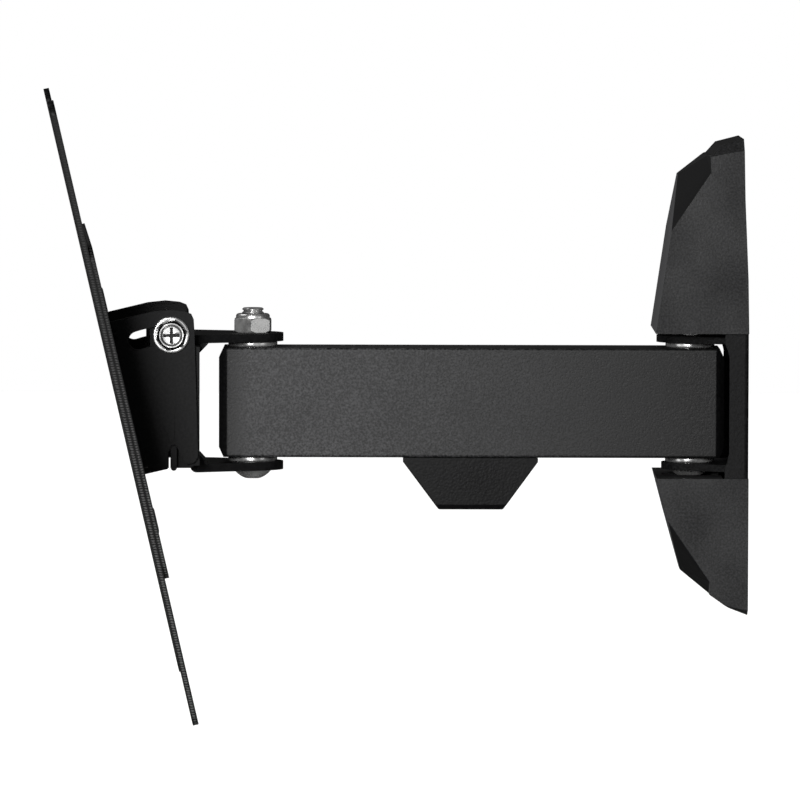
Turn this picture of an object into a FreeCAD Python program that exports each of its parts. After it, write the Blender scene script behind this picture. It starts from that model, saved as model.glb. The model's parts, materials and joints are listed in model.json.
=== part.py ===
import FreeCAD
import Part

import math
import os

V = FreeCAD.Vector

# Frame: the wall-contact face is x = 0, the arm's mid-height is z = 0, the
# television is on the -X side and +Z is up.  All lengths are millimetres.

# pivots
wall_pivot_x = -20.4        # vertical hinge pin at the wall
tv_pivot_x = -180.4         # vertical hinge pin at the television
bolt_r = 4.0                # M8 pivot bolts
bolt_clearance = 0.05       # radial running clearance round a pivot bolt
washer_r = 9.0
washer_gap = 0.05           # working gap on each face of a hinge washer
tab_inner_z = 22.0          # inner faces of the hinge tabs
tab_t = 2.5                 # wall hinge tabs
seat_gap = 0.1              # between a tab and the nut or bolt head on it
bolt_head_r, bolt_head_h = 7.0, 3.7
bolt_socket = 5.0           # across the flats
nut_flats = 13.0
nut_hex_h, nut_h = 5.2, 6.9
nut_collar_r = 6.2
bolt_end = 9.0              # bolt above the nut's seat

# arm
arm_half_h = 20.0
arm_half_w = 12.5
arm_wall_t = 2.0
arm_edge_r = 1.0
arm_inner_r = 0.6
tube_overhang = 9.0         # tube past each pivot axis
cap_overhang = 12.2         # end cap past each pivot axis
cap_swing_r = 15.55         # the cap's rounded ends stay inside this circle
cap_bevel_x, cap_bevel_z = 1.7, 3.6
plug_len = 2.5
plug_wall = 1.6
plug_play = 0.05
bush_r = 6.0

# cable clip under the arm
clip_top_x = (-125.4, -76.1)
clip_bottom_x = (-112.3, -88.9)
clip_bottom_z = -39.0
clip_half_w = 13.0
clip_t = 2.0

# wall plate and hinge bracket
plate_t = 2.2
plate_half_w = 27.9
plate_z = (-60.0, 40.0)
tongue_half_w = 9.0         # narrow top of the plate, round its screw hole
tongue_top_z = 62.0
flange_depth = 7.0
bracket_t = 2.4
bracket_half_w = 25.2
bracket_root_half = 22.0    # half width of each tab where it leaves the web
bend_r = 1.6
upper_tip_r = 12.3
lower_tip_r = 10.4
wall_hole_r = 4.25
wall_hole_z = (-52.0, 52.0)

# covers
cover_half_w = 30.0
cover_t = 1.8
cover_gap_z = 26.3          # where each cover starts, above and below the arm
cover_slot_r = 10.2         # round the nut or bolt head
cover_back_x = -9.2         # the cover's floor stops short of the wall flange

# swivel bracket, in coordinates from the television pivot (u along X)
head_yaw = 3.0
web_u = -20.4
ear_out_v = 34.0
ear_left_u = -38.4
ear_top_z = 34.0
ear_bottom_z = -22.4
ear_corner_r = 5.0
web_top_z = 21.5            # the web's ears start here
head_tip_r = 11.2
head_t = 3.0
head_root_half = 20.0       # half width of each tab where it leaves the web
tilt_bolt_u = -30.8
tilt_bolt_z = 26.0
tilt_bolt_r = 3.0
tilt_nut_h = 5.2
tilt_flats = 10.0
tilt_washer_r, tilt_washer_t = 6.6, 1.6

# tilt pivot lugs
tilt_u = -29.8
tilt_z = -15.1
lug_half = 1.1
lug_len = 8.0
lug_out_v = 38.0
slit_w = 0.6                # cut beside each tongue
slit_top_z = -16.5

# television head, upright, in coordinates from the tilt pivot
tilt_rest = 13.1            # top of the head leans away from the wall
tilt_low = -3.6
tilt_high = 15.0
yoke_in_v = 34.1
yoke_t = 2.2
foot_t = 1.8                # welded foot of each tilt ear
bar_t, centre_t = 2.1, 1.6
back_x = -12.45             # back face of the centre plate
head_mid_z = 20.8           # middle of the plates
centre_w = 224.0
centre_h = 120.0
bar_h = 226.0
bar_w = 25.0
plate_corner_r = 5.0
vesa_hole_r = 2.75
slot_half = 3.3
notch_half = 1.2            # the notch's round top, over the tongue
rivet_spots = [(100.0, 40.0), (100.0, -40.0)]
rivet_r = 3.0
rivet_head_r, rivet_head_h = 5.0, 1.2

parts_dir = "parts"
os.makedirs(parts_dir, exist_ok=True)


def prism(points, axis, low, high):
    # closed outline swept along one axis; points are pairs in the other two
    made = []
    for a, b in points:
        if axis == "y":
            made.append(V(a, low, b))
        elif axis == "z":
            made.append(V(a, b, low))
        else:
            made.append(V(low, a, b))
    face = Part.Face(Part.makePolygon(made + [made[0]]))
    step = {"x": V(high - low, 0, 0), "y": V(0, high - low, 0), "z": V(0, 0, high - low)}[axis]
    return face.extrude(step)


def box(x0, x1, y0, y1, z0, z1):
    return Part.makeBox(x1 - x0, y1 - y0, z1 - z0, V(x0, y0, z0))


def rod(r, x, y, z, length, axis=(0, 0, 1)):
    return Part.makeCylinder(r, length, V(x, y, z), V(*axis))


def round_edges(shape, radius, keep):
    edges = [e for e in shape.Edges if keep(e)]
    return shape.makeFillet(radius, edges) if edges else shape


def along(edge, axis, tol=1e-6):
    if not isinstance(edge.Curve, (Part.Line, Part.LineSegment)):
        return False
    d = edge.Vertexes[-1].Point.sub(edge.Vertexes[0].Point)
    parts = [abs(d.x), abs(d.y), abs(d.z)]
    i = "xyz".index(axis)
    return parts[i] > 0.5 and sum(parts) - parts[i] < tol


def cut_away(shape, point, normal):
    # removes everything on the side the normal points to
    block = Part.makeBox(600, 600, 600, V(-300, -300, 0))
    block.Placement = FreeCAD.Placement(point, FreeCAD.Rotation(V(0, 0, 1), normal))
    return shape.cut(block)


def plane_from(a, b, c, inside):
    n = b.sub(a).cross(c.sub(a))
    n.normalize()
    if n.dot(inside.sub(a)) > 0:
        n = n.multiply(-1)
    return a, n


def hexagon(flats, x, y, z, height, axis="z", turn=0.0):
    r = flats / 2 / math.cos(math.pi / 6)
    ring = []
    for i in range(6):
        t = math.radians(60 * i + turn)
        if axis == "z":
            ring.append(V(x + r * math.cos(t), y + r * math.sin(t), z))
        else:
            ring.append(V(x + r * math.cos(t), y, z + r * math.sin(t)))
    face = Part.Face(Part.makePolygon(ring + [ring[0]]))
    return face.extrude(V(0, 0, height) if axis == "z" else V(0, height, 0))


# ---- hinge hardware shared by both vertical pivots ----

def pivot_bolt(x, tab):
    # round-headed M8 bolt put in from below
    seat = tab_inner_z + tab + seat_gap
    shank = rod(bolt_r, x, 0, -seat, 2 * seat + bolt_end)
    shank = shank.makeChamfer(0.6, [e for e in shank.Edges
                                    if len(e.Vertexes) == 1 and e.CenterOfMass.z > seat + bolt_end - 1])
    ball = (bolt_head_r ** 2 + bolt_head_h ** 2) / (2 * bolt_head_h)
    dome = Part.makeSphere(ball, V(x, 0, ball - seat - bolt_head_h))
    dome = dome.common(rod(bolt_head_r, x, 0, -seat - bolt_head_h - 1, bolt_head_h + 1))
    socket = hexagon(bolt_socket, x, 0, -seat - bolt_head_h - 1, 3.2)
    return shank.fuse(dome).removeSplitter().cut(socket)


def pivot_nut(x, tab, turn):
    # nylon-insert lock nut: hexagon with its corners turned off and a round collar on top
    seat = tab_inner_z + tab + seat_gap
    corner_r = nut_flats / 2 / math.cos(math.pi / 6) + 0.4
    chamfer_r, chamfer_h = nut_flats / 2 + 0.2, 1.2
    nut = hexagon(nut_flats, x, 0, seat, nut_hex_h, turn=turn)
    turned = Part.makeCone(chamfer_r, corner_r, chamfer_h, V(x, 0, seat))
    turned = turned.fuse(rod(corner_r, x, 0, seat + chamfer_h, nut_hex_h - 2 * chamfer_h))
    turned = turned.fuse(Part.makeCone(corner_r, chamfer_r, chamfer_h, V(x, 0, seat + nut_hex_h - chamfer_h)))
    collar = rod(nut_collar_r, x, 0, seat + 1, nut_h - 1)
    collar = round_edges(collar, 1.0, lambda e: len(e.Vertexes) == 1 and e.CenterOfMass.z > seat + nut_h - 0.1)
    return nut.common(turned).fuse(collar).removeSplitter().cut(rod(bolt_r, x, 0, seat - 1, nut_h + 2))


def hinge_washer(x, z0):
    t = tab_inner_z - arm_half_h - washer_gap
    ring = rod(washer_r, x, 0, z0, t).cut(rod(bolt_r + bolt_clearance, x, 0, z0 - 1, t + 2))
    return ring.makeChamfer(0.25, [e for e in ring.Edges
                                   if len(e.Vertexes) == 1 and e.Length > 50])


# ---- arm ----

def arm_section(x0, x1, half_w, half_h, r):
    shape = box(x0, x1, -half_w, half_w, -half_h, half_h)
    if r > 0:
        shape = round_edges(shape, r, lambda e: along(e, "x"))
    return shape


def make_arm_tube():
    x0, x1 = tv_pivot_x - tube_overhang, wall_pivot_x + tube_overhang
    tube = arm_section(x0, x1, arm_half_w, arm_half_h, arm_edge_r)
    inner = arm_section(x0 - 1, x1 + 1, arm_half_w - arm_wall_t, arm_half_h - arm_wall_t, arm_inner_r)
    tube = tube.cut(inner)
    for x in (tv_pivot_x, wall_pivot_x):
        tube = tube.cut(rod(bush_r, x, 0, -30, 60))
    return tube


def make_arm_cap(pivot_x, side):
    # plug with a rounded nose; side is -1 at the television, +1 at the wall
    a, b = pivot_x + side * tube_overhang, pivot_x + side * cap_overhang
    nose = arm_section(min(a, b), max(a, b), arm_half_w, arm_half_h, arm_edge_r)
    nose = nose.common(rod(cap_swing_r, pivot_x, 0, -30, 60))
    for s in (-1, 1):
        nose = cut_away(nose, V(pivot_x + side * (cap_overhang - cap_bevel_x), 0, s * arm_half_h),
                        V(side * cap_bevel_z, 0, s * cap_bevel_x))
    w = arm_half_w - arm_wall_t - plug_play
    h = arm_half_h - arm_wall_t - plug_play
    p0, p1 = sorted((a - side * plug_len, a))
    plug = arm_section(p0, p1, w, h, arm_inner_r)
    w, h = w - plug_wall, h - plug_wall
    hollow = box(p0 - 1, p1 + 1, -w, w, -h, h)
    return nose.fuse(plug).removeSplitter().cut(hollow)


def make_bush(pivot_x):
    return rod(bush_r, pivot_x, 0, -arm_half_h, 2 * arm_half_h).cut(
        rod(bolt_r + bolt_clearance, pivot_x, 0, -30, 60))


def make_cable_clip():
    # trapezoid tray: two side walls and a floor, open at both ends
    z0 = -arm_half_h
    outline = [(clip_top_x[0], z0), (clip_top_x[1], z0), (clip_top_x[1], z0 - 1.5),
               (clip_bottom_x[1], clip_bottom_z), (clip_bottom_x[0], clip_bottom_z),
               (clip_top_x[0], z0 - 1.5)]
    tray = prism(outline, "y", -clip_half_w, clip_half_w)
    tray = tray.makeChamfer(1.6, [e for e in tray.Edges if along(e, "x")
                                  and e.CenterOfMass.z < clip_bottom_z + 0.1])
    room = box(-140, -60, -clip_half_w + clip_t, clip_half_w - clip_t,
               clip_bottom_z + clip_t, z0 - clip_t)
    return tray.cut(room)


# ---- wall side ----

def make_wall_plate():
    z0, z1 = plate_z
    sheet = box(-plate_t, 0, -plate_half_w, plate_half_w, z0, z1)
    sheet = round_edges(sheet, 6.0, lambda e: along(e, "x"))
    shoulder = tongue_top_z - 10
    tongue = prism([(-tongue_half_w - 8, z1 - 1), (-tongue_half_w, shoulder), (tongue_half_w, shoulder),
                    (tongue_half_w + 8, z1 - 1)], "x", -plate_t, 0)
    tongue = tongue.fuse(rod(tongue_half_w, -plate_t, 0, shoulder, plate_t, (1, 0, 0)))
    sheet = sheet.fuse(tongue).removeSplitter()
    for s in (-1, 1):
        outer, inner = s * plate_half_w, s * (plate_half_w - plate_t)
        # side flange, a little deeper where it runs behind the hinge tabs
        edge = [(-0.5, -53), (-flange_depth, -50), (-flange_depth, -30), (-8.6, -27.5), (-8.6, -22.5),
                (-7.7, -20.4), (-flange_depth, -17.5), (-flange_depth, 17.5), (-7.7, 20.4),
                (-8.6, 22.5), (-8.6, 27.5), (-flange_depth, 30), (-0.5, 33.5)]
        flange = prism(edge, "y", min(outer, inner), max(outer, inner))
        sheet = sheet.fuse(flange)
    sheet = sheet.removeSplitter()
    sheet = round_edges(sheet, 1.6, lambda e: along(e, "z") and abs(abs(e.CenterOfMass.y) - plate_half_w) < 0.01
                        and e.CenterOfMass.x > -0.01 and e.Length > 20)
    for z in wall_hole_z:
        sheet = sheet.cut(rod(wall_hole_r, -20, 0, z, 30, (1, 0, 0)))
    return sheet


def make_wall_bracket():
    x_web = -plate_t - bracket_t
    web = box(x_web, -plate_t, -bracket_half_w, bracket_half_w, -tab_inner_z - tab_t, tab_inner_z + tab_t)
    shape = web
    root = bracket_root_half
    for s, tip_r in ((-1, lower_tip_r), (1, upper_tip_r)):
        lo, hi = sorted((s * tab_inner_z, s * (tab_inner_z + tab_t)))
        # tangent from the web's width to the rounded tip
        reach = x_web - wall_pivot_x
        dist = math.hypot(reach, root)
        ang = math.atan2(root, reach) + math.acos(tip_r / dist)
        tx, ty = wall_pivot_x + tip_r * math.cos(ang), tip_r * math.sin(ang)
        tab = prism([(x_web + 0.5, -root), (x_web + 0.5, root), (x_web, root), (tx, ty),
                     (wall_pivot_x, 0), (tx, -ty), (x_web, -root)], "z", lo, hi)
        tab = tab.fuse(rod(tip_r, wall_pivot_x, 0, lo, tab_t))
        shape = shape.fuse(tab)
        bend_z = s * (tab_inner_z - bend_r)
        b0, b1 = sorted((s * tab_inner_z, bend_z))
        bend = box(x_web - bend_r, x_web, -root, root, b0, b1)
        bend = bend.cut(rod(bend_r, x_web - bend_r, -30, bend_z, 60, (0, 1, 0)))
        shape = shape.fuse(bend)
    shape = shape.removeSplitter()
    shape = round_edges(shape, 2.2, lambda e: along(e, "y") and abs(e.CenterOfMass.x + plate_t) < 0.01)
    return shape.cut(rod(bolt_r + 0.02, wall_pivot_x, 0, -40, 80))


def cover_core(kind, inset):
    # solid bounded by the cover's flat faces, each moved inward by inset
    up = kind == "upper"
    gap, ridge_half = cover_gap_z, 6.0
    if up:
        front_x, front_top = -33.9, (-25.4, 83.5)
        side_a, side_b = (-27.9, 64.2), (-9.4, 91.6)
        rear = (0.0, 93.1)
        slope_to = (-11.7, 93.2)
    else:
        front_x, front_top = -33.3, (-24.0, 61.2)
        side_a, side_b = (-28.5, 42.7), (-8.0, 72.5)
        rear = (0.0, 74.3)
        slope_to = (-8.0, 72.9)
    w = cover_half_w
    inside = V(-10, 0, 45)
    shape = box(-60, 0, -w + inset, w - inset, gap, 140)
    planes = [plane_from(V(front_x, 0, gap), V(front_x, 10, gap), V(front_top[0], 0, front_top[1]), inside),
              plane_from(V(front_top[0], 0, front_top[1]), V(front_top[0], 10, front_top[1]),
                         V(slope_to[0], 0, slope_to[1]), inside),
              plane_from(V(side_b[0], 0, side_b[1]), V(side_b[0], 10, side_b[1]), V(rear[0], 0, rear[1]), inside)]
    for q in (-1, 1):
        planes.append(plane_from(V(side_a[0], q * w, side_a[1]), V(side_b[0], q * w, side_b[1]),
                                 V(front_top[0], q * ridge_half, front_top[1]), inside))
    for point, normal in planes:
        shape = cut_away(shape, point.sub(V(normal).multiply(inset)), normal)
    # raised rear crown
    if up:
        low, peak, back = (-12.4, 92.4), (-10.6, 94.6), (0.0, 97.4)
    else:
        low, peak, back = (-10.0, 71.3), (-7.0, 73.4), (0.0, 76.3)
    crown = box(inset - 14, 0, -w + inset, w - inset, 60, 110)
    crown_planes = [plane_from(V(low[0], 0, low[1]), V(low[0], 10, low[1]), V(peak[0], 0, peak[1]), V(-4, 0, 70)),
                    plane_from(V(peak[0], 0, peak[1]), V(peak[0], 10, peak[1]), V(back[0], 0, back[1]), V(-4, 0, 70))]
    for q in (-1, 1):
        crown_planes.append(plane_from(V(side_b[0], q * (w - 0.4), side_b[1]), V(rear[0], q * (w - 0.4), rear[1]),
                                       V(back[0], q * (w - 6.0), back[1]), V(-4, 0, 70)))
    for point, normal in crown_planes:
        crown = cut_away(crown, point.sub(V(normal).multiply(inset)), normal)
    shape = shape.fuse(crown).removeSplitter()
    if not up:
        shape = shape.mirror(V(0, 0, 0), V(0, 0, 1))
    return shape


def make_cover(kind):
    s = 1 if kind == "upper" else -1
    lo, hi = sorted((s * cover_gap_z, s * (cover_gap_z + cover_t)))
    floor = box(-60, 10, -60, 60, lo, hi)
    shell = cover_core(kind, 0.0).cut(cover_core(kind, cover_t).cut(floor))
    # the floor next to the arm is open round the nut and towards the wall
    slot = box(wall_pivot_x, 1, -cover_slot_r, cover_slot_r, lo - 1, hi + 1)
    slot = slot.fuse(rod(cover_slot_r, wall_pivot_x, 0, lo - 1, hi - lo + 2))
    back = box(cover_back_x, 1, cover_t - cover_half_w, cover_half_w - cover_t, lo - 1, hi + 1)
    shell = shell.cut(slot).cut(back)
    if s > 0:
        # the rear edge leans away from the wall towards the top
        lean = [(3, 20), (0, cover_gap_z), (-0.35, 46), (-1.6, 75), (-2.05, 98), (3, 98)]
        shell = shell.cut(prism(lean, "y", -cover_half_w - 1, cover_half_w + 1))
    return shell


# ---- swivel bracket ----

def to_head(shape):
    moved = shape.copy()
    moved.rotate(V(0, 0, 0), V(0, 0, 1), head_yaw)
    moved.translate(V(tv_pivot_x, 0, 0))
    return moved


def make_swivel_bracket():
    u_out = web_u - head_t
    web = box(u_out, web_u, -ear_out_v, ear_out_v, -web_top_z, web_top_z)
    shape = web
    for s in (-1, 1):
        lo, hi = sorted((s * tab_inner_z, s * (tab_inner_z + head_t)))
        root = head_root_half
        # web strip carried up to the tab
        z0, z1 = sorted((s * 20.0, s * (tab_inner_z + head_t)))
        strip = box(u_out, web_u, -root, root, z0, z1)
        ang = math.atan2(root, web_u) - math.acos(head_tip_r / math.hypot(web_u, root))
        tx, ty = head_tip_r * math.cos(ang), head_tip_r * math.sin(ang)
        tab = prism([(web_u - 0.5, -root), (web_u - 0.5, root), (web_u, root), (tx, ty), (0, 0), (tx, -ty),
                     (web_u, -root)], "z", lo, hi)
        tab = tab.fuse(rod(head_tip_r, 0, 0, lo, head_t)).removeSplitter()
        gusset = prism([(web_u, s * tab_inner_z), (web_u + 3.6, s * tab_inner_z),
                        (web_u, s * (tab_inner_z - 3.8))], "y", -root, root)
        shape = shape.fuse(strip).fuse(tab).fuse(gusset)
    shape = shape.removeSplitter()
    shape = round_edges(shape, 2.3, lambda e: along(e, "y") and abs(e.CenterOfMass.x - u_out) < 0.01
                        and abs(abs(e.CenterOfMass.z) - tab_inner_z - head_t) < 0.01)
    for q in (-1, 1):
        v0, v1 = sorted((q * ear_out_v, q * (ear_out_v - head_t)))
        r = ear_corner_r
        ear = prism([(web_u, ear_bottom_z + 3), (web_u - 3, ear_bottom_z), (ear_left_u + 2, ear_bottom_z),
                     (ear_left_u, ear_bottom_z + 2), (ear_left_u, ear_top_z - r), (ear_left_u + r, ear_top_z - r),
                     (ear_left_u + r, ear_top_z), (u_out - 2.0, ear_top_z), (u_out, ear_top_z - 2.0),
                     (u_out, web_top_z), (web_u, web_top_z)], "y", v0, v1)
        ear = ear.fuse(rod(r, ear_left_u + r, v0, ear_top_z - r, head_t, (0, 1, 0)))
        # tongue bent outwards that carries the tilting head
        a, b = sorted((q * (ear_out_v - head_t), q * lug_out_v))
        lug = box(tilt_u - lug_half, tilt_u + lug_half, a, b, tilt_z - lug_len + lug_half, tilt_z)
        lug = lug.fuse(rod(lug_half, tilt_u, a, tilt_z, b - a, (0, 1, 0)))
        lug = lug.fuse(rod(lug_half, tilt_u, a, tilt_z - lug_len + lug_half, b - a, (0, 1, 0)))
        slit = box(tilt_u - lug_half - slit_w, tilt_u - lug_half, v0 - 1, v1 + 1, ear_bottom_z - 1, slit_top_z)
        shape = shape.fuse(ear.cut(slit)).fuse(lug)
    shape = shape.removeSplitter()
    shape = shape.cut(rod(tilt_bolt_r + 0.02, tilt_bolt_u, -60, tilt_bolt_z, 120, (0, 1, 0)))
    return shape.cut(rod(bolt_r + 0.02, 0, 0, -40, 80))


def make_tilt_bolt(q):
    # hexagon screw with a crossed round top, washer side towards the outside
    seat = yoke_in_v + yoke_t + tilt_washer_t + 0.15
    inner = ear_out_v - head_t - tilt_nut_h - 2.8
    shank = rod(tilt_bolt_r, tilt_bolt_u, inner, tilt_bolt_z, seat - inner, (0, 1, 0))
    head = hexagon(tilt_flats, tilt_bolt_u, seat, tilt_bolt_z, 3.0, axis="y", turn=15.0)
    bowl = Part.makeCone(6.2, 4.4, 3.0, V(tilt_bolt_u, seat, tilt_bolt_z), V(0, 1, 0))
    head = head.common(bowl.fuse(rod(6.2, tilt_bolt_u, seat, tilt_bolt_z, 1.9, (0, 1, 0))))
    top = Part.makeCone(4.0, 3.2, 0.8, V(tilt_bolt_u, seat + 3.0, tilt_bolt_z), V(0, 1, 0))
    bolt = shank.fuse(head).fuse(top).removeSplitter()
    for dx, dz in ((3.0, 0.55), (0.55, 3.0)):
        bolt = bolt.cut(box(tilt_bolt_u - dx, tilt_bolt_u + dx, seat + 1.6, seat + 5,
                            tilt_bolt_z - dz, tilt_bolt_z + dz))
    if q < 0:
        bolt = bolt.mirror(V(0, 0, 0), V(0, 1, 0))
    return bolt


def make_tilt_washer(q):
    v0 = yoke_in_v + yoke_t + 0.1
    ring = rod(tilt_washer_r, tilt_bolt_u, v0, tilt_bolt_z, tilt_washer_t, (0, 1, 0))
    ring = ring.cut(rod(tilt_bolt_r + 0.1, tilt_bolt_u, v0 - 1, tilt_bolt_z, 4, (0, 1, 0)))
    return ring if q > 0 else ring.mirror(V(0, 0, 0), V(0, 1, 0))


def make_tilt_nut(q):
    v1 = ear_out_v - head_t
    nut = hexagon(tilt_flats, tilt_bolt_u, v1 - tilt_nut_h, tilt_bolt_z, tilt_nut_h, axis="y", turn=30.0)
    nut = nut.cut(rod(tilt_bolt_r, tilt_bolt_u, 0, tilt_bolt_z, 60, (0, 1, 0)))
    return nut if q > 0 else nut.mirror(V(0, 0, 0), V(0, 1, 0))


# ---- television head ----

def to_tilt(shape):
    moved = shape.copy()
    moved.rotate(V(0, 0, 0), V(0, 1, 0), -tilt_rest)
    moved.translate(V(tilt_u, 0, tilt_z))
    return to_head(moved)


def slab(x0, x1, v_mid, z_mid, w, h, r):
    shape = box(x0, x1, v_mid - w / 2, v_mid + w / 2, z_mid - h / 2, z_mid + h / 2)
    return round_edges(shape, r, lambda e: along(e, "x"))


def vesa_holes(shape, half, x0=-20.0):
    for a in (-1, 1):
        for b in (-1, 1):
            shape = shape.cut(rod(vesa_hole_r, x0, a * half, head_mid_z + b * half, 12, (1, 0, 0)))
    return shape


def make_centre_plate():
    plate = slab(back_x - centre_t, back_x, 0, head_mid_z, centre_w, centre_h, plate_corner_r)
    plate = vesa_holes(plate, 50.0)
    plate = vesa_holes(plate, 37.5)
    for v, z in rivet_spots:
        for q in (-1, 1):
            plate = plate.cut(rod(rivet_r, -20, q * v, head_mid_z + z, 12, (1, 0, 0)))
    return plate


def make_bar(q):
    x1 = back_x - centre_t
    bar = slab(x1 - bar_t, x1, q * (centre_w / 2 - bar_w / 2), head_mid_z, bar_w, bar_h, plate_corner_r)
    bar = vesa_holes(bar, 100.0)
    for v, z in rivet_spots:
        bar = bar.cut(rod(rivet_r, -20, q * v, head_mid_z + z, 12, (1, 0, 0)))
    return bar


def make_rivet(q, spot):
    v, z = rivet_spots[spot]
    stack = centre_t + bar_t
    body = rod(rivet_r, back_x - stack, q * v, head_mid_z + z, stack, (1, 0, 0))
    r, h = rivet_head_r, rivet_head_h
    ball = (r * r + h * h) / (2 * h)
    dome = Part.makeSphere(ball, V(back_x + h - ball, q * v, head_mid_z + z))
    dome = dome.common(rod(r, back_x, q * v, head_mid_z + z, h + 1, (1, 0, 0)))
    return body.fuse(dome).removeSplitter()


def make_yoke_ear(q):
    outline = [(back_x, -6.8), (back_x, 49.8), (3.5, 49.9), (10.0, 49.1), (15.0, 47.4), (17.2, 45.9),
               (17.6, 43.9), (17.1, 40.9), (8.4, -2.6), (7.8, -5.2), (5.9, -6.8)]
    v0, v1 = yoke_in_v, yoke_in_v + yoke_t
    ear = prism(outline, "y", v0, v1)
    # foot welded to the back of the centre plate
    foot = box(back_x, back_x + foot_t, v0, v1 + 13.0, -4.0, 46.0)
    foot = round_edges(foot, 4.0, lambda e: along(e, "x") and e.CenterOfMass.y > v1 + 5)
    ear = ear.fuse(foot).removeSplitter()
    # flared notch that hangs on the bracket's tongue
    notch = prism([(-notch_half, 0.0), (-2.4, -0.9), (-4.0, -7.8), (3.5, -7.8), (notch_half, 0.0)], "y", v0 - 1, v1 + 1)
    notch = notch.fuse(rod(notch_half, 0, v0 - 1, 0, yoke_t + 2, (0, 1, 0)))
    ear = ear.cut(notch)
    # arc slot that the tilt bolt slides along
    du, dz = tilt_bolt_u - tilt_u, tilt_bolt_z - tilt_z
    radius = math.hypot(du, dz)
    bolt_dir = math.degrees(math.atan2(du, dz))
    lean = [bolt_dir + tilt_low - 0.3, bolt_dir + tilt_high + 0.3]
    ring = rod(radius + slot_half, 0, v0 - 1, 0, yoke_t + 2, (0, 1, 0)).cut(
        rod(radius - slot_half, 0, v0 - 1, 0, yoke_t + 2, (0, 1, 0)))
    t0, t1 = [math.radians(a) for a in lean]
    big = 80.0
    wedge = prism([(0, 0), (big * math.sin(t0), big * math.cos(t0)), (big * math.sin(t1), big * math.cos(t1))],
                  "y", v0 - 1, v1 + 1)
    slot = ring.common(wedge)
    for t in (t0, t1):
        slot = slot.fuse(rod(slot_half, radius * math.sin(t), v0 - 1, radius * math.cos(t), yoke_t + 2, (0, 1, 0)))
    ear = ear.cut(slot)
    return ear if q > 0 else ear.mirror(V(0, 0, 0), V(0, 1, 0))


upper_washer_z = arm_half_h + washer_gap

nodes = {
    "wall_plate": make_wall_plate(),
    "wall_hinge_bracket": make_wall_bracket(),
    "upper_cover": make_cover("upper"),
    "lower_cover": make_cover("lower"),
    "wall_pivot_bolt": pivot_bolt(wall_pivot_x, tab_t),
    "wall_pivot_nut": pivot_nut(wall_pivot_x, tab_t, 0.0),
    "wall_washer_upper": hinge_washer(wall_pivot_x, upper_washer_z),
    "wall_washer_lower": hinge_washer(wall_pivot_x, -tab_inner_z),
    "arm_tube": make_arm_tube(),
    "arm_cap_wall": make_arm_cap(wall_pivot_x, 1),
    "arm_cap_tv": make_arm_cap(tv_pivot_x, -1),
    "arm_bush_wall": make_bush(wall_pivot_x),
    "arm_bush_tv": make_bush(tv_pivot_x),
    "cable_clip": make_cable_clip(),
    "swivel_bracket": to_head(make_swivel_bracket()),
    "head_pivot_bolt": to_head(pivot_bolt(0.0, head_t)),
    "head_pivot_nut": to_head(pivot_nut(0.0, head_t, -97.0)),
    "head_washer_upper": to_head(hinge_washer(0.0, upper_washer_z)),
    "head_washer_lower": to_head(hinge_washer(0.0, -tab_inner_z)),
    "tilt_bolt_near": to_head(make_tilt_bolt(-1)),
    "tilt_bolt_far": to_head(make_tilt_bolt(1)),
    "tilt_washer_near": to_head(make_tilt_washer(-1)),
    "tilt_washer_far": to_head(make_tilt_washer(1)),
    "tilt_nut_near": to_head(make_tilt_nut(-1)),
    "tilt_nut_far": to_head(make_tilt_nut(1)),
    "tilt_ear_near": to_tilt(make_yoke_ear(-1)),
    "tilt_ear_far": to_tilt(make_yoke_ear(1)),
    "vesa_centre_plate": to_tilt(make_centre_plate()),
    "vesa_bar_near": to_tilt(make_bar(-1)),
    "vesa_bar_far": to_tilt(make_bar(1)),
    "bar_rivet_near_upper": to_tilt(make_rivet(-1, 0)),
    "bar_rivet_near_lower": to_tilt(make_rivet(-1, 1)),
    "bar_rivet_far_upper": to_tilt(make_rivet(1, 0)),
    "bar_rivet_far_lower": to_tilt(make_rivet(1, 1)),
}

for name, shape in nodes.items():
    solids = shape.Solids
    if len(solids) != 1:
        print("CHECK", name, "has", len(solids), "solids")
    solid = solids[0] if len(solids) == 1 else shape
    bb = solid.BoundBox
    print("%-22s valid %s vol %9.1f  x %.2f..%.2f y %.2f..%.2f z %.2f..%.2f" % (
        name, solid.isValid(), solid.Volume, bb.XMin, bb.XMax, bb.YMin, bb.YMax, bb.ZMin, bb.ZMax))
    solid.exportStep("%s/%s.step" % (parts_dir, name))
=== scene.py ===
import json
import math

import bmesh
import bpy
from mathutils import Matrix, Vector


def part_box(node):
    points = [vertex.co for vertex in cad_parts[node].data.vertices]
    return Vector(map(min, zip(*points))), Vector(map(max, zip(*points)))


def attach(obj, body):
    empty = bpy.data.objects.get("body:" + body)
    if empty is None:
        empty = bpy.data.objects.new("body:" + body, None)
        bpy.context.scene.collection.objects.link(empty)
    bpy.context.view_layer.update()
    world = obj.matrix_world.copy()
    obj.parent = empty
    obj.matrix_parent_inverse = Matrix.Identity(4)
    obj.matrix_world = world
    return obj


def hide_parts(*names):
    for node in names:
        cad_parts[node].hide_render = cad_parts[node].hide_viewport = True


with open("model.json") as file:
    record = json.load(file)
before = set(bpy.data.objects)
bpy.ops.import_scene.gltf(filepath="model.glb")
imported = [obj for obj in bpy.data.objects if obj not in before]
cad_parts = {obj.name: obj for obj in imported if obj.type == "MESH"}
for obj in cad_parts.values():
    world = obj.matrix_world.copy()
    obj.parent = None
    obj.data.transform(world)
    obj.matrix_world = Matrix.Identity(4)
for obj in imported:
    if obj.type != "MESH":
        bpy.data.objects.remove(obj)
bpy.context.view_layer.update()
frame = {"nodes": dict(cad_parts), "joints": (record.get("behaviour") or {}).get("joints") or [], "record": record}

mm = 0.001

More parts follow.
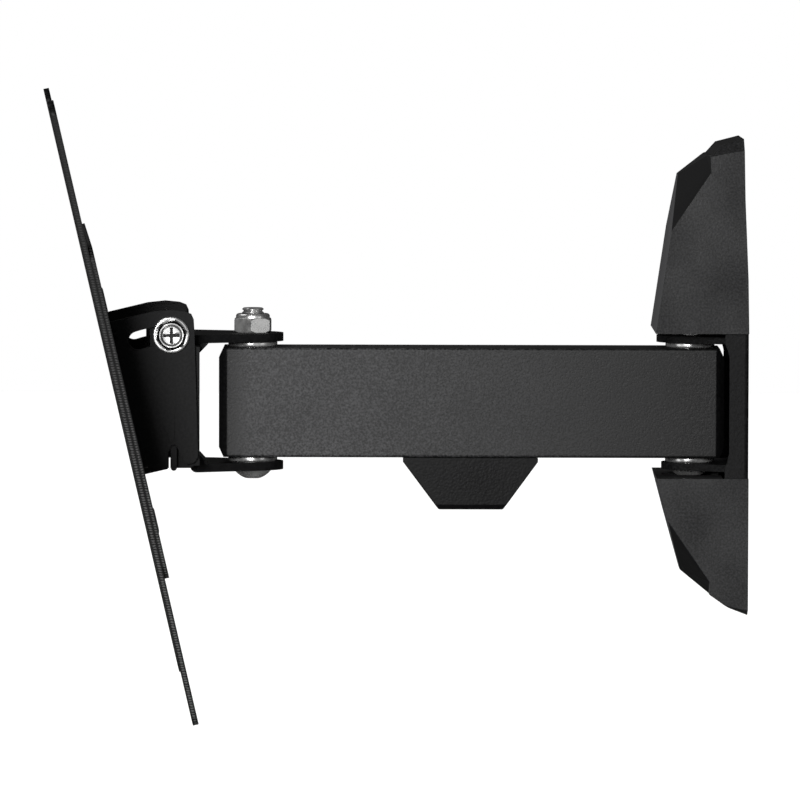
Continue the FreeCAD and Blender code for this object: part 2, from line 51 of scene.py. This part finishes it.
joints = {joint["name"]: joint for joint in frame["joints"]}
wallPivot = Vector(joints["wall_swivel"]["pos_m"])
tvPivot = Vector(joints["head_swivel"]["pos_m"])
tiltPivot = Vector(joints["tilt"]["pos_m"])
tiltAxis = Vector(joints["tilt"]["axis"])
headYaw = math.atan2(-tiltAxis.x, tiltAxis.y)
plateNormal = Vector(next(m for m in frame["record"]["mounts"] if m["name"] == "tv_face")["axis"])

# distances in millimetres from the tilt pivot to the faces of the screw plate, along its normal
plateFace = {"barFront": 16.15, "centreFront": 14.05, "centreBack": 12.45}

camera = {"elevation": 3.5, "distance": 2.898, "lens": 356.1, "sensor": 36, "roll": 0.14,
          "aimX": -0.1265, "aimZ": 0.0003, "clipEnd": 20}


def makeCamera():
    data = bpy.data.cameras.new("studioCamera")
    data.lens = camera["lens"]
    data.sensor_width = camera["sensor"]
    data.clip_end = camera["clipEnd"]
    thing = bpy.data.objects.new("studioCamera", data)
    bpy.context.scene.collection.objects.link(thing)
    lift = math.radians(camera["elevation"])
    aim = Vector((camera["aimX"], 0, camera["aimZ"]))
    thing.location = aim + Vector((0, -math.cos(lift), math.sin(lift))) * camera["distance"]
    turn = Matrix.Rotation(math.pi / 2 - lift, 4, "X") @ Matrix.Rotation(math.radians(camera["roll"]), 4, "Z")
    thing.rotation_euler = turn.to_euler()
    bpy.context.scene.camera = thing


studio = {
    "floorDrop": 0.42,
    "floorSize": 14.0,
    "world": 1.0,
    "worldOnObject": 0.045,
    "floorLamp": 3.7,
    "floorLampAngle": 0.2,
    "floorTint": (0.95, 0.95, 0.95, 1),
    "floorRoughness": 0.9,
    "floorInReflections": (0.05, 0.05, 0.05, 1),
    "white": (1, 1, 1, 1),
    "lights": [
        # name, place, aim, width, height, watts, spread in degrees
        ("leftSoftbox", (-2.0, -1.3, 0.1), (-0.15, 0, 0), 0.6, 1.2, 6, 180),
        ("leftFill", (-0.62, -2.3, 0.4), (-0.36, 0, 0), 0.5, 0.5, 4, 50),
        ("lowCard", (-0.25, -2.4, -0.17), (-0.15, 0, 0), 0.8, 0.35, 1.0, 180),
        ("rightFill", (1.5, -1.6, 0.25), (-0.15, 0, 0), 0.6, 0.8, 2.5, 180),
        ("topLeft", (-1.4, 0.3, 1.7), (-0.05, 0, 0), 0.8, 0.8, 9, 180),
    ],
}


def mixForCamera(tree, seen, unseen, output):
    # the camera sees one shader, and every other ray meets the other
    path = tree.nodes.new("ShaderNodeLightPath")
    mix = tree.nodes.new("ShaderNodeMixShader")
    tree.links.new(path.outputs["Is Camera Ray"], mix.inputs["Fac"])
    tree.links.new(unseen.outputs[0], mix.inputs[1])
    tree.links.new(seen.outputs[0], mix.inputs[2])
    tree.links.new(mix.outputs[0], tree.nodes[output].inputs["Surface"])


def makeWorld():
    scene = bpy.context.scene
    scene.view_settings.view_transform = "Standard"
    scene.view_settings.look = "None"
    world = bpy.data.worlds.new("paleStudio")
    world.use_nodes = True
    tree = world.node_tree
    back = tree.nodes["Background"]
    back.inputs["Color"].default_value = studio["white"]
    back.inputs["Strength"].default_value = studio["world"]
    dim = tree.nodes.new("ShaderNodeBackground")
    dim.inputs["Color"].default_value = studio["white"]
    dim.inputs["Strength"].default_value = studio["worldOnObject"]
    mixForCamera(tree, back, dim, "World Output")
    scene.world = world


def makeLights():
    for name, place, aim, width, height, watts, spread in studio["lights"]:
        data = bpy.data.lights.new(name, "AREA")
        data.shape = "RECTANGLE"
        data.size = width
        data.size_y = height
        data.energy = watts
        data.spread = math.radians(spread)
        thing = bpy.data.objects.new(name, data)
        bpy.context.scene.collection.objects.link(thing)
        thing.location = place
        thing.rotation_euler = (Vector(aim) - Vector(place)).to_track_quat("-Z", "Y").to_euler()


def makeFloor():
    bm = bmesh.new()
    bmesh.ops.create_grid(bm, x_segments=2, y_segments=2, size=studio["floorSize"] / 2)
    bmesh.ops.translate(bm, verts=bm.verts, vec=(0, 0, -studio["floorDrop"]))
    mesh = bpy.data.meshes.new("studioFloor")
    bm.to_mesh(mesh)
    bm.free()
    floor = bpy.data.objects.new("studioFloor", mesh)
    bpy.context.scene.collection.objects.link(floor)
    paper = bpy.data.materials.new("floorPaper")
    paper.use_nodes = True
    tree = paper.node_tree
    shader = tree.nodes["Principled BSDF"]
    shader.inputs["Base Color"].default_value = studio["floorTint"]
    shader.inputs["Roughness"].default_value = studio["floorRoughness"]
    # the object meets a dim floor, as if black card stood just out of view
    card = tree.nodes.new("ShaderNodeBsdfDiffuse")
    card.inputs["Color"].default_value = studio["floorInReflections"]
    mixForCamera(tree, shader, card, "Material Output")
    floor.data.materials.append(paper)
    # the floor has its own lamp, so it stays pale without washing out the object
    lit = bpy.data.collections.new("floorLamp")
    lit.objects.link(floor)
    data = bpy.data.lights.new("floorLamp", "SUN")
    data.energy = studio["floorLamp"]
    data.angle = studio["floorLampAngle"]
    lamp = bpy.data.objects.new("floorLamp", data)
    bpy.context.scene.collection.objects.link(lamp)
    lamp.light_linking.receiver_collection = lit


makeCamera()
makeWorld()
makeLights()
makeFloor()
print("studio ready")


noiseLow, noiseHigh = 0.3, 0.7   # most of a noise texture's values lie between these


def startMaterial(name):
    material = bpy.data.materials.new(name)
    material.use_nodes = True
    tree = material.node_tree
    shader = tree.nodes["Principled BSDF"]
    coords = tree.nodes.new("ShaderNodeTexCoord")
    return material, tree, shader, coords


def reopen(material):
    tree = material.node_tree
    coords = next(n for n in tree.nodes if n.bl_idname == "ShaderNodeTexCoord")
    return tree, tree.nodes["Principled BSDF"], coords


def addNoise(tree, coords, scale, detail=3.0, rough=0.5):
    noise = tree.nodes.new("ShaderNodeTexNoise")
    noise.inputs["Scale"].default_value = scale
    noise.inputs["Detail"].default_value = detail
    noise.inputs["Roughness"].default_value = rough
    tree.links.new(coords.outputs["Object"], noise.inputs["Vector"])
    return noise


def addRamp(tree, source, low, high, lowValue, highValue):
    ramp = tree.nodes.new("ShaderNodeMapRange")
    ramp.inputs["From Min"].default_value = low
    ramp.inputs["From Max"].default_value = high
    ramp.inputs["To Min"].default_value = lowValue
    ramp.inputs["To Max"].default_value = highValue
    tree.links.new(source, ramp.inputs["Value"])
    return ramp


def tintBetween(tree, fac, low, high):
    mix = tree.nodes.new("ShaderNodeMix")
    mix.data_type = "RGBA"
    mix.inputs["A"].default_value = (*low, 1)
    mix.inputs["B"].default_value = (*high, 1)
    tree.links.new(fac, mix.inputs["Factor"])
    return mix


def addBump(tree, shader, height, depth, distance, under=None):
    bump = tree.nodes.new("ShaderNodeBump")
    bump.inputs["Strength"].default_value = depth
    bump.inputs["Distance"].default_value = distance
    tree.links.new(height, bump.inputs["Height"])
    if under is not None:
        tree.links.new(under.outputs["Normal"], bump.inputs["Normal"])
    tree.links.new(bump.outputs["Normal"], shader.inputs["Normal"])
    return bump


powderCoat = {"grain": 1300, "grainDetail": 4.0, "grainRough": 0.6, "mottle": 60, "mottleDetail": 2.0,
              "dark": (0.006, 0.006, 0.0063), "light": (0.10, 0.10, 0.103),
              "low": 0.44, "high": 0.74, "cloudiness": 0.08, "roughLow": 0.42, "roughHigh": 0.62,
              "specular": 0.3, "bump": 0.5, "bumpDepth": 0.0002}


def makePowderCoat(name, look):
    material, tree, shader, coords = startMaterial(name)
    grain = addNoise(tree, coords, look["grain"], look["grainDetail"], look["grainRough"])
    mottle = addNoise(tree, coords, look["mottle"], look["mottleDetail"])
    blend = tree.nodes.new("ShaderNodeMath")
    blend.operation = "MULTIPLY_ADD"
    tree.links.new(mottle.outputs["Fac"], blend.inputs[0])
    blend.inputs[1].default_value = look["cloudiness"]
    tree.links.new(grain.outputs["Fac"], blend.inputs[2])
    fac = addRamp(tree, blend.outputs[0], look["low"], look["high"], 0, 1)
    tint = tintBetween(tree, fac.outputs[0], look["dark"], look["light"])
    tree.links.new(tint.outputs["Result"], shader.inputs["Base Color"])
    rough = addRamp(tree, grain.outputs["Fac"], noiseLow, noiseHigh, look["roughLow"], look["roughHigh"])
    tree.links.new(rough.outputs[0], shader.inputs["Roughness"])
    shader.inputs["Specular IOR Level"].default_value = look["specular"]
    addBump(tree, shader, grain.outputs["Fac"], look["bump"], look["bumpDepth"])
    return material


brightZinc = {"dark": (0.42, 0.42, 0.42), "light": (0.80, 0.80, 0.79), "cloud": 220, "cloudDetail": 3.0,
              "brush": 2600, "brushDetail": 2.0,
              "cloudLow": 0.35, "cloudHigh": 0.65, "roughLow": 0.18, "roughHigh": 0.36, "metallic": 0.8,
              "bump": 0.12, "bumpDepth": 0.00004}


def makeZinc(name, look):
    material, tree, shader, coords = startMaterial(name)
    cloud = addNoise(tree, coords, look["cloud"], look["cloudDetail"])
    brush = addNoise(tree, coords, look["brush"], look["brushDetail"])
    fac = addRamp(tree, cloud.outputs["Fac"], look["cloudLow"], look["cloudHigh"], 0, 1)
    tint = tintBetween(tree, fac.outputs[0], look["dark"], look["light"])
    tree.links.new(tint.outputs["Result"], shader.inputs["Base Color"])
    shader.inputs["Metallic"].default_value = look["metallic"]
    rough = addRamp(tree, cloud.outputs["Fac"], noiseLow, noiseHigh, look["roughLow"], look["roughHigh"])
    tree.links.new(rough.outputs[0], shader.inputs["Roughness"])
    addBump(tree, shader, brush.outputs["Fac"], look["bump"], look["bumpDepth"])
    return material


coverGrain = {"cell": 1900, "mottle": 45, "mottleDetail": 2.0,
              "dark": (0.006, 0.006, 0.0063), "light": (0.031, 0.031, 0.0322),
              "fine": 0.7, "fineDetail": 3.0, "fineRough": 0.6, "low": 0.38, "high": 0.68,
              "roughLow": 0.46, "roughHigh": 0.66, "specular": 0.3,
              "pitBump": 0.3, "pitDepth": 0.00012, "fineBump": 0.25, "fineDepth": 0.00008}


def makeMouldedPlastic(name, look):
    # spark-eroded mould finish: small rounded pits under a fine noise
    material, tree, shader, coords = startMaterial(name)
    cells = tree.nodes.new("ShaderNodeTexVoronoi")
    cells.feature = "SMOOTH_F1"
    cells.inputs["Scale"].default_value = look["cell"]
    tree.links.new(coords.outputs["Object"], cells.inputs["Vector"])
    fine = addNoise(tree, coords, look["cell"] * look["fine"], look["fineDetail"], look["fineRough"])
    mottle = addNoise(tree, coords, look["mottle"], look["mottleDetail"])
    fac = addRamp(tree, fine.outputs["Fac"], look["low"], look["high"], 0, 1)
    tint = tintBetween(tree, fac.outputs[0], look["dark"], look["light"])
    tree.links.new(tint.outputs["Result"], shader.inputs["Base Color"])
    rough = addRamp(tree, mottle.outputs["Fac"], noiseLow, noiseHigh, look["roughLow"], look["roughHigh"])
    tree.links.new(rough.outputs[0], shader.inputs["Roughness"])
    shader.inputs["Specular IOR Level"].default_value = look["specular"]
    first = addBump(tree, shader, cells.outputs["Distance"], look["pitBump"], look["pitDepth"])
    addBump(tree, shader, fine.outputs["Fac"], look["fineBump"], look["fineDepth"], first)
    return material


def addMath(tree, operation, first, second):
    node = tree.nodes.new("ShaderNodeMath")
    node.operation = operation
    for socket, value in zip(node.inputs, (first, second)):
        if isinstance(value, (int, float)):
            socket.default_value = value
        else:
            tree.links.new(value, socket)
    return node.outputs[0]


def addDot(tree, source, direction):
    node = tree.nodes.new("ShaderNodeVectorMath")
    node.operation = "DOT_PRODUCT"
    tree.links.new(source, node.inputs[0])
    node.inputs[1].default_value = direction
    return node.outputs["Value"]


def coverBase(tree, shader, mask, top):
    # lays another tint over the shader's base colour where the mask is 1
    under = shader.inputs["Base Color"].links[0].from_socket
    both = tree.nodes.new("ShaderNodeMix")
    both.data_type = "RGBA"
    tree.links.new(mask, both.inputs["Factor"])
    tree.links.new(under, both.inputs["A"])
    if isinstance(top, tuple):
        both.inputs["B"].default_value = (*top, 1)
    else:
        tree.links.new(top, both.inputs["B"])
    tree.links.new(both.outputs["Result"], shader.inputs["Base Color"])


# the top and foot of the painted shade are heights in metres: the marks are faint at the top, as painted shade
shearedEdge = {"scale": 350, "distortion": 3.2, "dark": (0.002, 0.002, 0.002), "light": (0.11, 0.11, 0.11),
               "detail": 2.0, "detailScale": 3.0, "edgeOn": 0.25, "faceOn": 0.6, "core": 0.15, "rim": 0.8,
               "paintedShadeTop": 0.112, "paintedShadeFoot": -0.06, "faint": 0.05}


def makePlatePaint(name, look, edge, nearFace, farFace):
    # satin paint on the flat faces; fine pale streaks across each cut edge between its two arrises, with painted
    # shade towards both arrises and towards the top
    material = makePowderCoat(name, look)
    tree, shader, coords = reopen(material)
    facing = addMath(tree, "ABSOLUTE", addDot(tree, coords.outputs["Normal"], plateNormal), 0)
    cut = addRamp(tree, facing, edge["edgeOn"], edge["faceOn"], 1, 0).outputs[0]
    depth = addDot(tree, coords.outputs["Object"], plateNormal)
    middle = tiltPivot.dot(plateNormal) + (nearFace + farFace) / 2 * mm
    half = abs(nearFace - farFace) / 2 * mm
    off = addMath(tree, "ABSOLUTE", addMath(tree, "SUBTRACT", depth, middle), 0)
    # painted shade: the streaks die away towards each arris
    inside = addRamp(tree, off, half * edge["core"], half * edge["rim"], 1, 0).outputs[0]
    apart = tree.nodes.new("ShaderNodeSeparateXYZ")
    tree.links.new(coords.outputs["Object"], apart.inputs[0])
    # painted shade: the streaks grow faint towards the top of the plate
    paintedShade = addRamp(tree, apart.outputs["Z"], edge["paintedShadeTop"], edge["paintedShadeFoot"], edge["faint"], 1).outputs[0]
    wave = tree.nodes.new("ShaderNodeTexWave")
    wave.bands_direction = "Z"
    wave.inputs["Scale"].default_value = edge["scale"]
    wave.inputs["Distortion"].default_value = edge["distortion"]
    wave.inputs["Detail"].default_value = edge["detail"]
    wave.inputs["Detail Scale"].default_value = edge["detailScale"]
    tree.links.new(coords.outputs["Object"], wave.inputs["Vector"])
    strength = addMath(tree, "MULTIPLY", addMath(tree, "MULTIPLY", wave.outputs["Fac"], inside), paintedShade)
    drag = tintBetween(tree, strength, edge["dark"], edge["light"])
    coverBase(tree, shader, cut, drag.outputs["Result"])
    return material


coverPaintedShadeAndLight = {
    # painted shade on the covers' corner facets, and painted light on their front strip
    "tint": (0.0035, 0.0035, 0.0038), "facetLow": 0.96, "facetHigh": 0.985,
    "front": (0.12, 0.12, 0.123), "frontLow": 0.88, "frontHigh": 0.93,
    # three corners of a facet in millimetres as (x, height), and whether the cover is above or below the arm
    "upper": ((-27.9, 64.2), (-9.4, 91.6), (-25.4, 83.5), 1),
    "lower": ((-28.5, 42.7), (-8.0, 72.5), (-24.0, 61.2), -1),
    "sideY": 30, "frontY": 6,
}


def facetNormal(first, second, third):
    a, b, c = Vector(first), Vector(second), Vector(third)
    normal = (b - a).cross(c - a).normalized()
    return normal if normal.x < 0 else -normal


def facetNormals(facet):
    normals = []
    for cover in ("upper", "lower"):
        low, high, front, up = facet[cover]
        for side in (-1, 1):
            outer, inner = side * facet["sideY"], side * facet["frontY"]
            normals.append(facetNormal((low[0], outer, up * low[1]), (high[0], outer, up * high[1]),
                                       (front[0], inner, up * front[1])))
    return normals


def makeCoverPlasticWithPaintedLight(name, look, facet):
    # painted shade: a darker tint on the corner facets; painted light: a paler tint on the strip that faces the
    # television
    material = makeMouldedPlastic(name, look)
    tree, shader, coords = reopen(material)
    total = None
    for normal in facetNormals(facet):
        facing = addDot(tree, coords.outputs["Normal"], normal)
        near = addRamp(tree, facing, facet["facetLow"], facet["facetHigh"], 0, 1).outputs[0]
        total = near if total is None else addMath(tree, "MAXIMUM", total, near)
    coverBase(tree, shader, total, facet["tint"])
    ahead = addDot(tree, coords.outputs["Normal"], (-1, 0, 0))
    front = addRamp(tree, ahead, facet["frontLow"], facet["frontHigh"], 0, 1).outputs[0]
    coverBase(tree, shader, front, facet["front"])
    return material


# floor and rim are millimetres from the head's middle plane
# painted shade inside the tilt bolts' cross recess
crossRecessPaintedShade = {"floor": 39.5, "rim": 40.9, "tint": (0.015, 0.015, 0.015)}


def makeCrossZinc(name, look, recess):
    # bright zinc, with painted shade inside the cross recess
    material = makeZinc(name, look)
    tree, shader, coords = reopen(material)
    place = addDot(tree, coords.outputs["Object"], tiltAxis)
    across = addMath(tree, "SUBTRACT", place, tvPivot.dot(tiltAxis))
    out = addMath(tree, "ABSOLUTE", across, 0)
    deep = addMath(tree, "GREATER_THAN", out, recess["floor"] * mm)
    low = addMath(tree, "LESS_THAN", out, recess["rim"] * mm)
    coverBase(tree, shader, addMath(tree, "MULTIPLY", deep, low), recess["tint"])
    return material


# left, right, noseEnd and noseStart are places along the arm in metres
# painted shade on the arm: darker towards the wall end and at the television end's edge
armPaintedShade = {"left": -0.15, "right": -0.02, "tint": (0.003, 0.003, 0.003), "most": 0.95,
           "noseEnd": -0.1895, "noseStart": -0.181, "noseMost": 0.9}


def makeArmPaintWithPaintedShade(name, look, paintedShade):
    # painted shade: the tint darkens at the television end's edge and towards the wall end
    material = makePowderCoat(name, look)
    tree, shader, coords = reopen(material)
    apart = tree.nodes.new("ShaderNodeSeparateXYZ")
    tree.links.new(coords.outputs["Object"], apart.inputs[0])
    right = addRamp(tree, apart.outputs["X"], paintedShade["left"], paintedShade["right"], 0, paintedShade["most"]).outputs[0]
    nose = addRamp(tree, apart.outputs["X"], paintedShade["noseEnd"], paintedShade["noseStart"],
                   paintedShade["noseMost"], 0).outputs[0]
    mask = addMath(tree, "MAXIMUM", right, nose)
    coverBase(tree, shader, mask, paintedShade["tint"])
    return material


# the other finishes start from the three above
satinPaint = dict(powderCoat, grain=900, dark=(0.005, 0.005, 0.0053), light=(0.010, 0.010, 0.0104),
                  roughLow=0.36, roughHigh=0.48, bump=0.12, specular=0.09)
wallSteel = dict(powderCoat, grain=1100, dark=(0.003, 0.003, 0.0032), light=(0.014, 0.014, 0.0146),
                 specular=0.12)
smoothPlastic = dict(coverGrain, cell=1200, dark=(0.004, 0.004, 0.0042), light=(0.008, 0.008, 0.0083),
                     roughLow=0.3, roughHigh=0.42, specular=0.1)
turnedSteel = dict(brightZinc, dark=(0.35, 0.35, 0.35), light=(0.5, 0.5, 0.5), roughLow=0.3, roughHigh=0.45)


finishes = {
    # the arm's paint carries painted shade along its length
    "arm_paint": makeArmPaintWithPaintedShade("armPowderCoatWithPaintedShade", powderCoat, armPaintedShade),
    "black_steel": makePowderCoat("wallSteelPaint", wallSteel),
    "head_paint": makePowderCoat("headSatinPaint", satinPaint),
    # the covers carry painted shade on their facets and painted light on their front strip
    "cover_plastic": makeCoverPlasticWithPaintedLight("coverSparkPlasticWithPaintedLight", coverGrain, coverPaintedShadeAndLight),
    "cap_plastic": makeMouldedPlastic("capPlastic", smoothPlastic),
    "zinc_steel": makeZinc("brightZinc", brightZinc),
    # the tilt bolts carry painted shade in their cross recess
    "cross_zinc": makeCrossZinc("crossZinc", brightZinc, crossRecessPaintedShade),
    "bush_steel": makeZinc("turnedSteel", turnedSteel),
    # the plate paints carry painted shade on their cut edges
    "bar_paint": makePlatePaint("barPaint", satinPaint, shearedEdge,
                                plateFace["barFront"], plateFace["centreFront"]),
    "centre_paint": makePlatePaint("centrePaint", satinPaint, shearedEdge,
                                   plateFace["centreFront"], plateFace["centreBack"]),
}
print("materials ready")


edgeBreak = {
    "segments": 2,
    "sharpest": 30,
    "weld": 0.00001,
    "width": {"upper_cover": 0.6, "lower_cover": 0.6, "arm_cap_wall": 0.5, "arm_cap_tv": 0.5,
              "cable_clip": 0.35, "swivel_bracket": 0.3, "wall_hinge_bracket": 0.25,
              "tilt_ear_near": 0.12, "tilt_ear_far": 0.12, "vesa_centre_plate": 0.25,
              "vesa_bar_near": 0.3, "vesa_bar_far": 0.3, "wall_plate": 0.2,
              "tilt_bolt_near": 0.15, "tilt_bolt_far": 0.15, "head_pivot_nut": 0.2, "wall_pivot_nut": 0.2},
    "finish": {"vesa_centre_plate": "centre_paint", "vesa_bar_near": "bar_paint", "vesa_bar_far": "bar_paint",
               "tilt_bolt_near": "cross_zinc", "tilt_bolt_far": "cross_zinc"},
}


def dressNode(name, finish, breakWidth):
    # widths are in millimetres; a node without one keeps the edges that the CAD gave it
    thing = frame["nodes"][name]
    thing.data.materials.clear()
    thing.data.materials.append(finishes[finish])
    if breakWidth:
        weld = thing.modifiers.new("weld", "WELD")
        weld.merge_threshold = edgeBreak["weld"]
        bevel = thing.modifiers.new("edgeBreak", "BEVEL")
        bevel.width = breakWidth * mm
        bevel.segments = edgeBreak["segments"]
        bevel.limit_method = "ANGLE"
        bevel.angle_limit = math.radians(edgeBreak["sharpest"])
        bevel.use_clamp_overlap = True


for entry in frame["record"]["subparts"]:
    node = entry["node"]
    dressNode(node, edgeBreak["finish"].get(node, entry["material_slot"]), edgeBreak["width"].get(node, 0))
print("nodes dressed")


def addPiece(name, bm, body, finish, nodes, sharp=35):
    bmesh.ops.recalc_face_normals(bm, faces=bm.faces)
    mesh = bpy.data.meshes.new(name)
    bm.to_mesh(mesh)
    bm.free()
    mesh.shade_smooth()
    mesh.set_sharp_from_angle(angle=math.radians(sharp))
    mesh.materials.append(finishes[finish])
    thing = bpy.data.objects.new(name, mesh)
    bpy.context.scene.collection.objects.link(thing)
    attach(thing, body)
    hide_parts(*nodes)


doubleGap = 0.0000005   # closes the seam of a spun outline, in metres


def spinRound(bm, outline, place, steps):
    # outline is (radius, height) pairs in millimetres about a vertical axis through place
    verts = [bm.verts.new((r * mm, 0, z * mm)) for r, z in outline]
    edges = [bm.edges.new(pair) for pair in zip(verts, verts[1:])]
    if outline[0][0] > 0 and outline[-1][0] > 0:
        edges.append(bm.edges.new((verts[-1], verts[0])))
    bmesh.ops.spin(bm, geom=verts + edges, cent=(0, 0, 0), axis=(0, 0, 1), angle=2 * math.pi,
                   steps=steps, use_merge=True)
    bmesh.ops.remove_doubles(bm, verts=bm.verts, dist=doubleGap)
    bmesh.ops.translate(bm, verts=bm.verts, vec=place)


def arcPoints(radius, centreR, centreZ, start, end, count):
    points = []
    for i in range(count + 1):
        turn = math.radians(start + (end - start) * i / count)
        points.append((centreR + radius * math.cos(turn), centreZ + radius * math.sin(turn)))
    return points


hingeWasher = {"outer": 9.0, "inner": 4.05, "thick": 1.95, "round": 0.6, "arcSteps": 5,
               "chamfer": 0.2, "upper": 20.05, "lower": -22.0, "steps": 64}


def makeHingeWasher(name, body, pivot, low, node):
    look = hingeWasher
    bm = bmesh.new()
    high, edge, soft = low + look["thick"], look["outer"] - look["round"], look["round"]
    inner, cut = look["inner"], look["chamfer"]
    outline = [(inner + cut, low)]
    outline += arcPoints(soft, edge, low + soft, -90, 0, look["arcSteps"])
    outline += arcPoints(soft, edge, high - soft, 0, 90, look["arcSteps"])
    outline += [(inner + cut, high), (inner, high - cut), (inner, low + cut)]
    spinRound(bm, outline, (pivot.x, pivot.y, 0), look["steps"])
    addPiece(name, bm, body, "zinc_steel", [node])


makeHingeWasher("headWasherUpper", "swivel", tvPivot, hingeWasher["upper"], "head_washer_upper")
makeHingeWasher("headWasherLower", "swivel", tvPivot, hingeWasher["lower"], "head_washer_lower")
makeHingeWasher("wallWasherUpper", "wall", wallPivot, hingeWasher["upper"], "wall_washer_upper")
makeHingeWasher("wallWasherLower", "wall", wallPivot, hingeWasher["lower"], "wall_washer_lower")
print("hinge washers made")


pivotBolt = {"shank": 4.0, "root": 3.4, "pitch": 1.25, "headRadius": 7.0, "headHeight": 3.7, "headEdge": 0.2,
             "domeSteps": 12, "socket": 2.6, "socketDepth": 2.0, "end": 9.0, "threads": 7, "plainEnd": 0.5,
             "rootFrom": 0.5, "rootTo": 0.65, "crestFrom": 1.12, "headSeat": 25.1, "wallSeat": 24.6,
             "steps": 56, "sharp": 28}


def makePivotBolt(name, body, pivot, seat, node):
    # domed head with a driving socket below, threads standing out of the nut above
    look = pivotBolt
    foot = -seat - look["headHeight"]
    outline = [(0, foot + look["socketDepth"]), (look["socket"], foot + look["socketDepth"])]
    ball = (look["headRadius"] ** 2 + look["headHeight"] ** 2) / (2 * look["headHeight"])
    outline.append((look["socket"], foot + ball - math.sqrt(ball ** 2 - look["socket"] ** 2)))
    for i in range(1, look["domeSteps"] + 1):
        r = look["socket"] + (look["headRadius"] - look["socket"]) * i / look["domeSteps"]
        outline.append((r, foot + ball - math.sqrt(max(ball ** 2 - r ** 2, 0))))
    outline += [(look["headRadius"] - look["headEdge"], -seat), (look["shank"], -seat)]
    top = seat + look["end"]
    level = top - look["plainEnd"] - look["threads"] * look["pitch"]
    outline.append((look["shank"], level))
    for i in range(look["threads"]):
        outline += [(look["root"], level + look["rootFrom"]), (look["root"], level + look["rootTo"]),
                    (look["shank"], level + look["crestFrom"])]
        level += look["pitch"]
        outline.append((look["shank"], level))
    outline += [(look["root"], top), (0, top)]
    bm = bmesh.new()
    spinRound(bm, outline, (pivot.x, pivot.y, 0), look["steps"])
    addPiece(name, bm, body, "zinc_steel", [node], look["sharp"])


makePivotBolt("headPivotBolt", "swivel", tvPivot, pivotBolt["headSeat"], "head_pivot_bolt")
makePivotBolt("wallPivotBolt", "wall", wallPivot, pivotBolt["wallSeat"], "wall_pivot_bolt")
print("pivot bolts made")


tiltWasher = {"outer": 6.6, "inner": 3.1, "thick": 1.6, "round": 0.5, "arcSteps": 6, "chamfer": 0.2,
              "stepOuter": 2.0, "stepInner": 1.6, "stepDepth": 0.25, "steps": 64}


def makeTiltWasher(name, side, node):
    look = tiltWasher
    bm = bmesh.new()
    inner, outer, cut = look["inner"], look["outer"], look["chamfer"]
    high, soft, sunk = look["thick"], look["round"], look["thick"] - look["stepDepth"]
    outline = [(inner, 0), (outer - cut, 0), (outer, cut)]
    outline += arcPoints(soft, outer - soft, high - soft, 0, 90, look["arcSteps"])
    outline += [(inner + look["stepOuter"], high), (inner + look["stepInner"], sunk), (inner, sunk)]
    spinRound(bm, outline, (0, 0, 0), look["steps"])
    low, high = (Vector(corner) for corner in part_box(node))
    centre = (low + high) / 2
    turn = Matrix.Rotation(headYaw, 4, "Z") @ Matrix.Rotation(-side * math.pi / 2, 4, "X")
    bmesh.ops.transform(bm, matrix=turn, verts=bm.verts)
    bmesh.ops.translate(bm, verts=bm.verts, vec=centre - tiltAxis * side * look["thick"] / 2 * mm)
    addPiece(name, bm, "swivel", "zinc_steel", [node])


makeTiltWasher("tiltWasherNear", -1, "tilt_washer_near")
makeTiltWasher("tiltWasherFar", 1, "tilt_washer_far")
print("tilt washers made")


barRivet = {"shank": 3.0, "length": 3.7, "head": 4.6, "rise": 0.35, "land": 0.2, "edge": 0.1, "slope": 0.8,
            "steps": 32}


def makeBarRivet(name, node):
    # rivet pressed almost flush with the back of the centre plate
    look = barRivet
    bm = bmesh.new()
    shank, head, length = look["shank"], look["head"], look["length"]
    peak = length + look["rise"]
    outline = [(0, 0), (shank, 0), (shank, length), (head, length),
               (head - look["edge"], length + look["land"]), (head - look["slope"], peak), (0, peak)]
    spinRound(bm, outline, (0, 0, 0), look["steps"])
    low, high = (Vector(corner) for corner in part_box(node))
    front = plateNormal.to_track_quat("-Z", "Y").to_matrix().to_4x4()
    bmesh.ops.transform(bm, matrix=front, verts=bm.verts)
    middle = (low + high) / 2
    forward = tiltPivot.dot(plateNormal) + plateFace["barFront"] * mm - middle.dot(plateNormal)
    place = middle + plateNormal * forward
    bmesh.ops.translate(bm, verts=bm.verts, vec=place)
    addPiece(name, bm, "tv_head", "head_paint", [node])


for side in ("near", "far"):
    for level in ("upper", "lower"):
        makeBarRivet("barRivet" + side.title() + level.title(), "bar_rivet_%s_%s" % (side, level))
print("rivets made")
